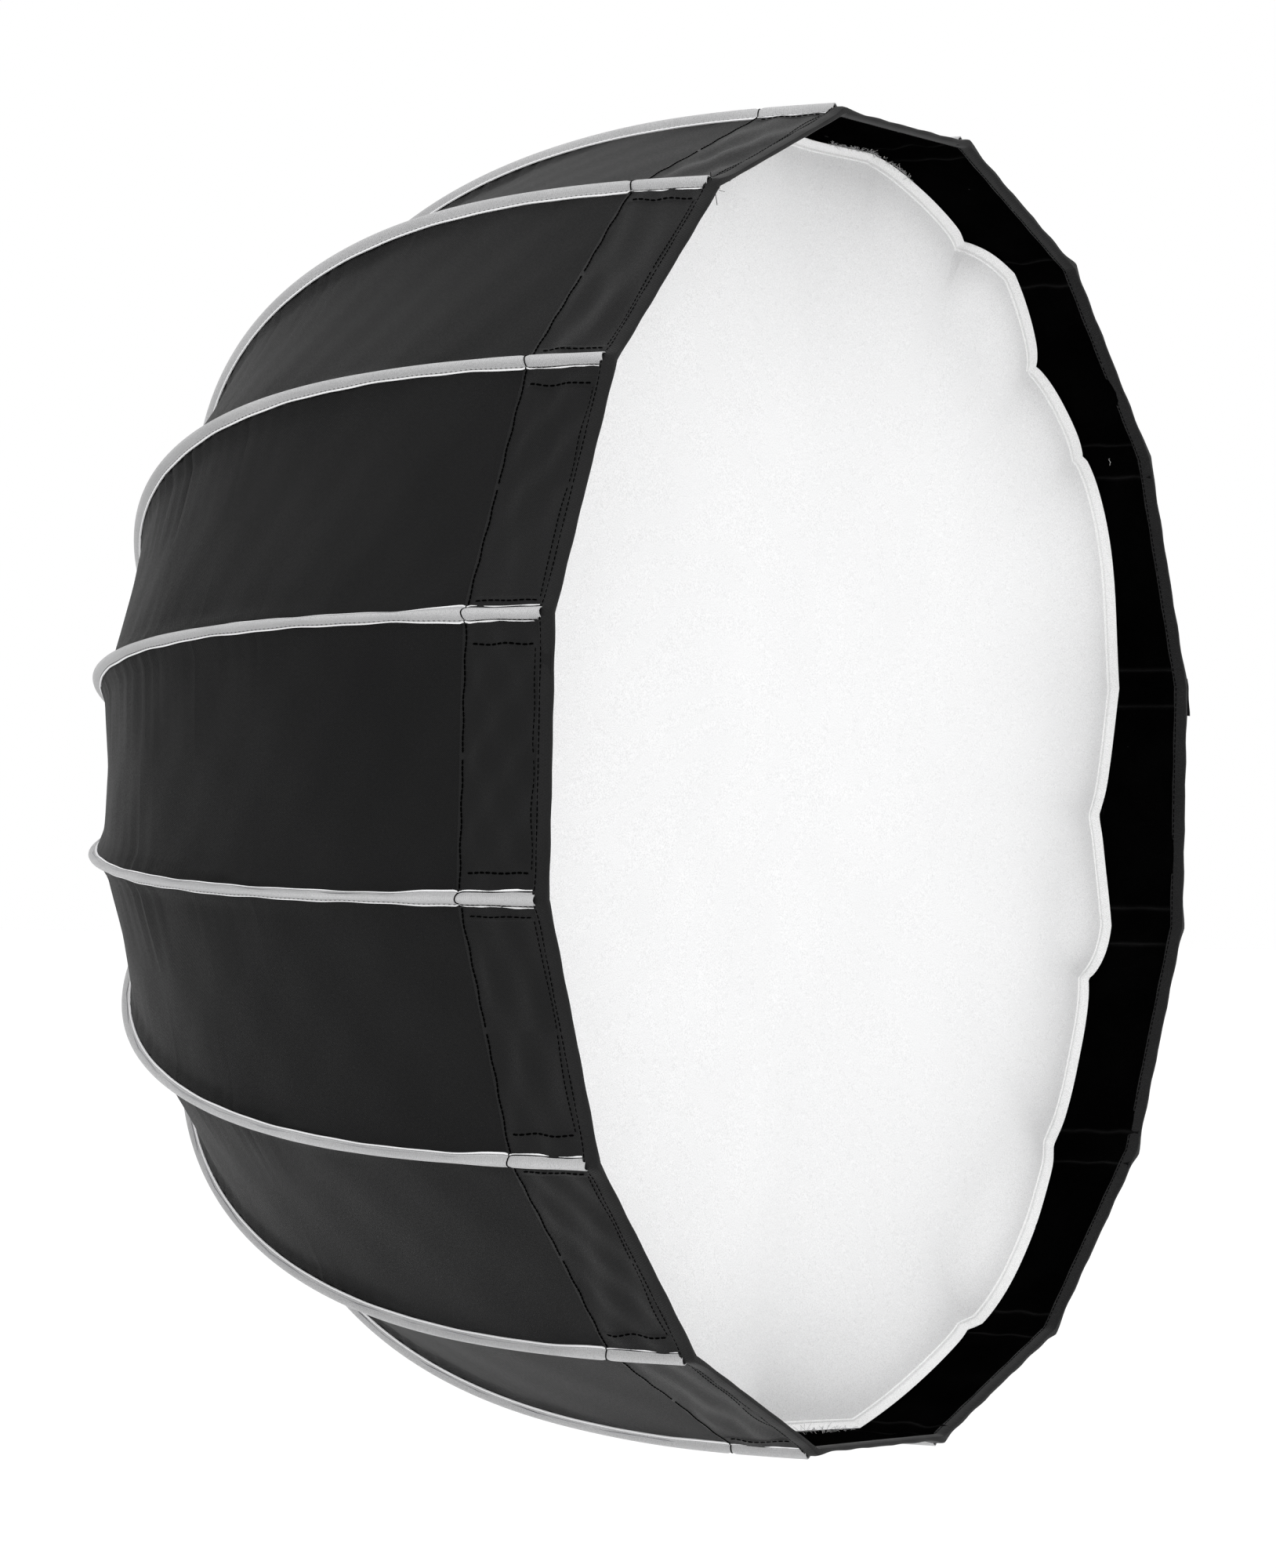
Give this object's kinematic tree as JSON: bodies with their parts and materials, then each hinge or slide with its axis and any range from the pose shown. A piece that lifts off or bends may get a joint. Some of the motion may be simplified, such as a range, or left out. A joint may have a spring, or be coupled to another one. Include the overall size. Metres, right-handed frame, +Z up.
{
  "type": "umbrella reflector",
  "caption": "Deep round umbrella reflector with a recessed white diffuser: curved rods fold forward from a bayonet hub and carry black cloth panels.",
  "frame": {"origin": "centre of the hub's rear seat, in the plane of the face that lies on the lamp", "axes": "+Y along the dish's axis towards the lamp, so the open mouth looks along -Y; +Z up"},
  "size_m": [0.8884, 0.5308, 0.8884],
  "materials": {
    "black_polyester": "matte woven",
    "grey_sleeve": "woven tape",
    "hook_and_loop": "napped",
    "silver_lining": "metallised",
    "white_diffusion": "matte",
    "cast_aluminium": "satin",
    "black_nylon": "matte",
    "spring_steel": "bright",
    "rod_steel": "satin"
  },
  "bodies": {
    "root": {"mount_ring": "cast_aluminium", "crown": "black_nylon", "hub_cover": "black_nylon", "guide_tube": "cast_aluminium", "stop_ring": "spring_steel", "hinge_wire": "spring_steel", "latch_spring_left": "spring_steel", "latch_spring_right": "spring_steel", "front_diffuser": "white_diffusion"},
    "slider": {"runner": "black_nylon", "strut_wire": "spring_steel"},
    "panel_01": {"rib_01": "rod_steel", "gore_01": "black_polyester"},
    "push_01": {"strut_01": "black_nylon"},
    "panel_02": {"rib_02": "rod_steel", "gore_02": "black_polyester"},
    "push_02": {"strut_02": "black_nylon"},
    "panel_03": {"rib_03": "rod_steel", "gore_03": "black_polyester"},
    "push_03": {"strut_03": "black_nylon"},
    "panel_04": {"rib_04": "rod_steel", "gore_04": "black_polyester"},
    "push_04": {"strut_04": "black_nylon"},
    "panel_05": {"rib_05": "rod_steel", "gore_05": "black_polyester"},
    "push_05": {"strut_05": "black_nylon"},
    "panel_06": {"rib_06": "rod_steel", "gore_06": "black_polyester"},
    "push_06": {"strut_06": "black_nylon"},
    "panel_07": {"rib_07": "rod_steel", "gore_07": "black_polyester"},
    "push_07": {"strut_07": "black_nylon"},
    "panel_08": {"rib_08": "rod_steel", "gore_08": "black_polyester"},
    "push_08": {"strut_08": "black_nylon"},
    "panel_09": {"rib_09": "rod_steel", "gore_09": "black_polyester"},
    "push_09": {"strut_09": "black_nylon"},
    "panel_10": {"rib_10": "rod_steel", "gore_10": "black_polyester"},
    "push_10": {"strut_10": "black_nylon"},
    "panel_11": {"rib_11": "rod_steel", "gore_11": "black_polyester"},
    "push_11": {"strut_11": "black_nylon"},
    "panel_12": {"rib_12": "rod_steel", "gore_12": "black_polyester"},
    "push_12": {"strut_12": "black_nylon"},
    "panel_13": {"rib_13": "rod_steel", "gore_13": "black_polyester"},
    "push_13": {"strut_13": "black_nylon"},
    "panel_14": {"rib_14": "rod_steel", "gore_14": "black_polyester"},
    "push_14": {"strut_14": "black_nylon"},
    "panel_15": {"rib_15": "rod_steel", "gore_15": "black_polyester"},
    "push_15": {"strut_15": "black_nylon"},
    "panel_16": {"rib_16": "rod_steel", "gore_16": "black_polyester"},
    "push_16": {"strut_16": "black_nylon"}
  },
  "joints": [
    {"name": "rib_01_fold", "type": "hinge", "parent": "root", "child": "panel_01", "pos_m": [-0.01207, -0.019, 0.07706], "axis": [0.988, 0, 0.1547], "range_deg": [0, 38.5], "deforming": ["gore_01", "gore_02", "gore_03", "gore_04", "gore_05", "gore_06", "gore_07", "gore_08", "gore_09", "gore_10", "gore_11", "gore_12", "gore_13", "gore_14", "gore_15", "gore_16", "front_diffuser", "latch_spring_left", "latch_spring_right"]},
    {"name": "strut_01_swing", "type": "hinge", "parent": "panel_01", "child": "push_01", "pos_m": [-0.01903, -0.02227, 0.12152], "axis": [0.988, 0, 0.1547], "range_deg": [-48.5, 0]},
    {"name": "rib_02_fold", "type": "hinge", "parent": "root", "child": "panel_02", "pos_m": [0.01834, -0.019, 0.07581], "axis": [0.972, 0, -0.2351], "range_deg": [0, 38.6]},
    {"name": "strut_02_swing", "type": "hinge", "parent": "panel_02", "child": "push_02", "pos_m": [0.02892, -0.02227, 0.11955], "axis": [0.972, 0, -0.2351], "range_deg": [-48.5, 0]},
    {"name": "rib_03_fold", "type": "hinge", "parent": "root", "child": "panel_03", "pos_m": [0.04596, -0.019, 0.06302], "axis": [0.808, 0, -0.5892], "range_deg": [0, 38.6]},
    {"name": "strut_03_swing", "type": "hinge", "parent": "panel_03", "child": "push_03", "pos_m": [0.07247, -0.02227, 0.09938], "axis": [0.808, 0, -0.5892], "range_deg": [-48.5, 0]},
    {"name": "rib_04_fold", "type": "hinge", "parent": "root", "child": "panel_04", "pos_m": [0.06658, -0.019, 0.04064], "axis": [0.521, 0, -0.8536], "range_deg": [0, 38.6]},
    {"name": "strut_04_swing", "type": "hinge", "parent": "panel_04", "child": "push_04", "pos_m": [0.10499, -0.02227, 0.06408], "axis": [0.521, 0, -0.8536], "range_deg": [-48.5, 0]},
    {"name": "rib_05_fold", "type": "hinge", "parent": "root", "child": "panel_05", "pos_m": [0.07706, -0.019, 0.01207], "axis": [0.1547, 0, -0.988], "range_deg": [0, 38.6]},
    {"name": "strut_05_swing", "type": "hinge", "parent": "panel_05", "child": "push_05", "pos_m": [0.12152, -0.02227, 0.01903], "axis": [0.1547, 0, -0.988], "range_deg": [-48.5, 0]},
    {"name": "rib_06_fold", "type": "hinge", "parent": "root", "child": "panel_06", "pos_m": [0.07581, -0.019, -0.01834], "axis": [-0.2351, 0, -0.972], "range_deg": [0, 38.6]},
    {"name": "strut_06_swing", "type": "hinge", "parent": "panel_06", "child": "push_06", "pos_m": [0.11955, -0.02227, -0.02892], "axis": [-0.2351, 0, -0.972], "range_deg": [-48.5, 0]},
    {"name": "rib_07_fold", "type": "hinge", "parent": "root", "child": "panel_07", "pos_m": [0.06302, -0.019, -0.04596], "axis": [-0.5892, 0, -0.808], "range_deg": [0, 38.6]},
    {"name": "strut_07_swing", "type": "hinge", "parent": "panel_07", "child": "push_07", "pos_m": [0.09938, -0.02227, -0.07247], "axis": [-0.5892, 0, -0.808], "range_deg": [-48.5, 0]},
    {"name": "rib_08_fold", "type": "hinge", "parent": "root", "child": "panel_08", "pos_m": [0.04064, -0.019, -0.06658], "axis": [-0.8536, 0, -0.521], "range_deg": [0, 38.6]},
    {"name": "strut_08_swing", "type": "hinge", "parent": "panel_08", "child": "push_08", "pos_m": [0.06408, -0.02227, -0.10499], "axis": [-0.8536, 0, -0.521], "range_deg": [-48.5, 0]},
    {"name": "rib_09_fold", "type": "hinge", "parent": "root", "child": "panel_09", "pos_m": [0.01207, -0.019, -0.07706], "axis": [-0.988, 0, -0.1547], "range_deg": [0, 38.6]},
    {"name": "strut_09_swing", "type": "hinge", "parent": "panel_09", "child": "push_09", "pos_m": [0.01903, -0.02227, -0.12152], "axis": [-0.988, 0, -0.1547], "range_deg": [-48.5, 0]},
    {"name": "rib_10_fold", "type": "hinge", "parent": "root", "child": "panel_10", "pos_m": [-0.01834, -0.019, -0.07581], "axis": [-0.972, 0, 0.2351], "range_deg": [0, 38.6]},
    {"name": "strut_10_swing", "type": "hinge", "parent": "panel_10", "child": "push_10", "pos_m": [-0.02892, -0.02227, -0.11955], "axis": [-0.972, 0, 0.2351], "range_deg": [-48.5, 0]},
    {"name": "rib_11_fold", "type": "hinge", "parent": "root", "child": "panel_11", "pos_m": [-0.04596, -0.019, -0.06302], "axis": [-0.808, 0, 0.5892], "range_deg": [0, 38.6]},
    {"name": "strut_11_swing", "type": "hinge", "parent": "panel_11", "child": "push_11", "pos_m": [-0.07247, -0.02227, -0.09938], "axis": [-0.808, 0, 0.5892], "range_deg": [-48.5, 0]},
    {"name": "rib_12_fold", "type": "hinge", "parent": "root", "child": "panel_12", "pos_m": [-0.06658, -0.019, -0.04064], "axis": [-0.521, 0, 0.8536], "range_deg": [0, 38.6]},
    {"name": "strut_12_swing", "type": "hinge", "parent": "panel_12", "child": "push_12", "pos_m": [-0.10499, -0.02227, -0.06408], "axis": [-0.521, 0, 0.8536], "range_deg": [-48.5, 0]},
    {"name": "rib_13_fold", "type": "hinge", "parent": "root", "child": "panel_13", "pos_m": [-0.07706, -0.019, -0.01207], "axis": [-0.1547, 0, 0.988], "range_deg": [0, 38.6]},
    {"name": "strut_13_swing", "type": "hinge", "parent": "panel_13", "child": "push_13", "pos_m": [-0.12152, -0.02227, -0.01903], "axis": [-0.1547, 0, 0.988], "range_deg": [-48.5, 0]},
    {"name": "rib_14_fold", "type": "hinge", "parent": "root", "child": "panel_14", "pos_m": [-0.07581, -0.019, 0.01834], "axis": [0.2351, 0, 0.972], "range_deg": [0, 38.6]},
    {"name": "strut_14_swing", "type": "hinge", "parent": "panel_14", "child": "push_14", "pos_m": [-0.11955, -0.02227, 0.02892], "axis": [0.2351, 0, 0.972], "range_deg": [-48.5, 0]},
    {"name": "rib_15_fold", "type": "hinge", "parent": "root", "child": "panel_15", "pos_m": [-0.06302, -0.019, 0.04596], "axis": [0.5892, 0, 0.808], "range_deg": [0, 38.6]},
    {"name": "strut_15_swing", "type": "hinge", "parent": "panel_15", "child": "push_15", "pos_m": [-0.09938, -0.02227, 0.07247], "axis": [0.5892, 0, 0.808], "range_deg": [-48.5, 0]},
    {"name": "rib_16_fold", "type": "hinge", "parent": "root", "child": "panel_16", "pos_m": [-0.04064, -0.019, 0.06658], "axis": [0.8536, 0, 0.521], "range_deg": [0, 38.6]},
    {"name": "strut_16_swing", "type": "hinge", "parent": "panel_16", "child": "push_16", "pos_m": [-0.06408, -0.02227, 0.10499], "axis": [0.8536, 0, 0.521], "range_deg": [-48.5, 0]},
    {"name": "runner_slide", "type": "slide", "parent": "root", "child": "slider", "axis": [0, -1, 0], "range_m": [0, 0.0382]}
  ],
  "couplings": [
    {"joint": "strut_01_swing", "follows": "rib_01_fold", "ratio": -1.2546},
    {"joint": "rib_02_fold", "follows": "rib_01_fold", "ratio": 1},
    {"joint": "strut_02_swing", "follows": "rib_01_fold", "ratio": -1.2546},
    {"joint": "rib_03_fold", "follows": "rib_01_fold", "ratio": 1},
    {"joint": "strut_03_swing", "follows": "rib_01_fold", "ratio": -1.2546},
    {"joint": "rib_04_fold", "follows": "rib_01_fold", "ratio": 1},
    {"joint": "strut_04_swing", "follows": "rib_01_fold", "ratio": -1.2546},
    {"joint": "rib_05_fold", "follows": "rib_01_fold", "ratio": 1},
    {"joint": "strut_05_swing", "follows": "rib_01_fold", "ratio": -1.2546},
    {"joint": "rib_06_fold", "follows": "rib_01_fold", "ratio": 1},
    {"joint": "strut_06_swing", "follows": "rib_01_fold", "ratio": -1.2546},
    {"joint": "rib_07_fold", "follows": "rib_01_fold", "ratio": 1},
    {"joint": "strut_07_swing", "follows": "rib_01_fold", "ratio": -1.2546},
    {"joint": "rib_08_fold", "follows": "rib_01_fold", "ratio": 1},
    {"joint": "strut_08_swing", "follows": "rib_01_fold", "ratio": -1.2546},
    {"joint": "rib_09_fold", "follows": "rib_01_fold", "ratio": 1},
    {"joint": "strut_09_swing", "follows": "rib_01_fold", "ratio": -1.2546},
    {"joint": "rib_10_fold", "follows": "rib_01_fold", "ratio": 1},
    {"joint": "strut_10_swing", "follows": "rib_01_fold", "ratio": -1.2546},
    {"joint": "rib_11_fold", "follows": "rib_01_fold", "ratio": 1},
    {"joint": "strut_11_swing", "follows": "rib_01_fold", "ratio": -1.2546},
    {"joint": "rib_12_fold", "follows": "rib_01_fold", "ratio": 1},
    {"joint": "strut_12_swing", "follows": "rib_01_fold", "ratio": -1.2546},
    {"joint": "rib_13_fold", "follows": "rib_01_fold", "ratio": 1},
    {"joint": "strut_13_swing", "follows": "rib_01_fold", "ratio": -1.2546},
    {"joint": "rib_14_fold", "follows": "rib_01_fold", "ratio": 1},
    {"joint": "strut_14_swing", "follows": "rib_01_fold", "ratio": -1.2546},
    {"joint": "rib_15_fold", "follows": "rib_01_fold", "ratio": 1},
    {"joint": "strut_15_swing", "follows": "rib_01_fold", "ratio": -1.2546},
    {"joint": "rib_16_fold", "follows": "rib_01_fold", "ratio": 1},
    {"joint": "strut_16_swing", "follows": "rib_01_fold", "ratio": -1.2546},
    {"joint": "runner_slide", "follows": "rib_01_fold", "m_per_rad": 0.05661}
  ]
}
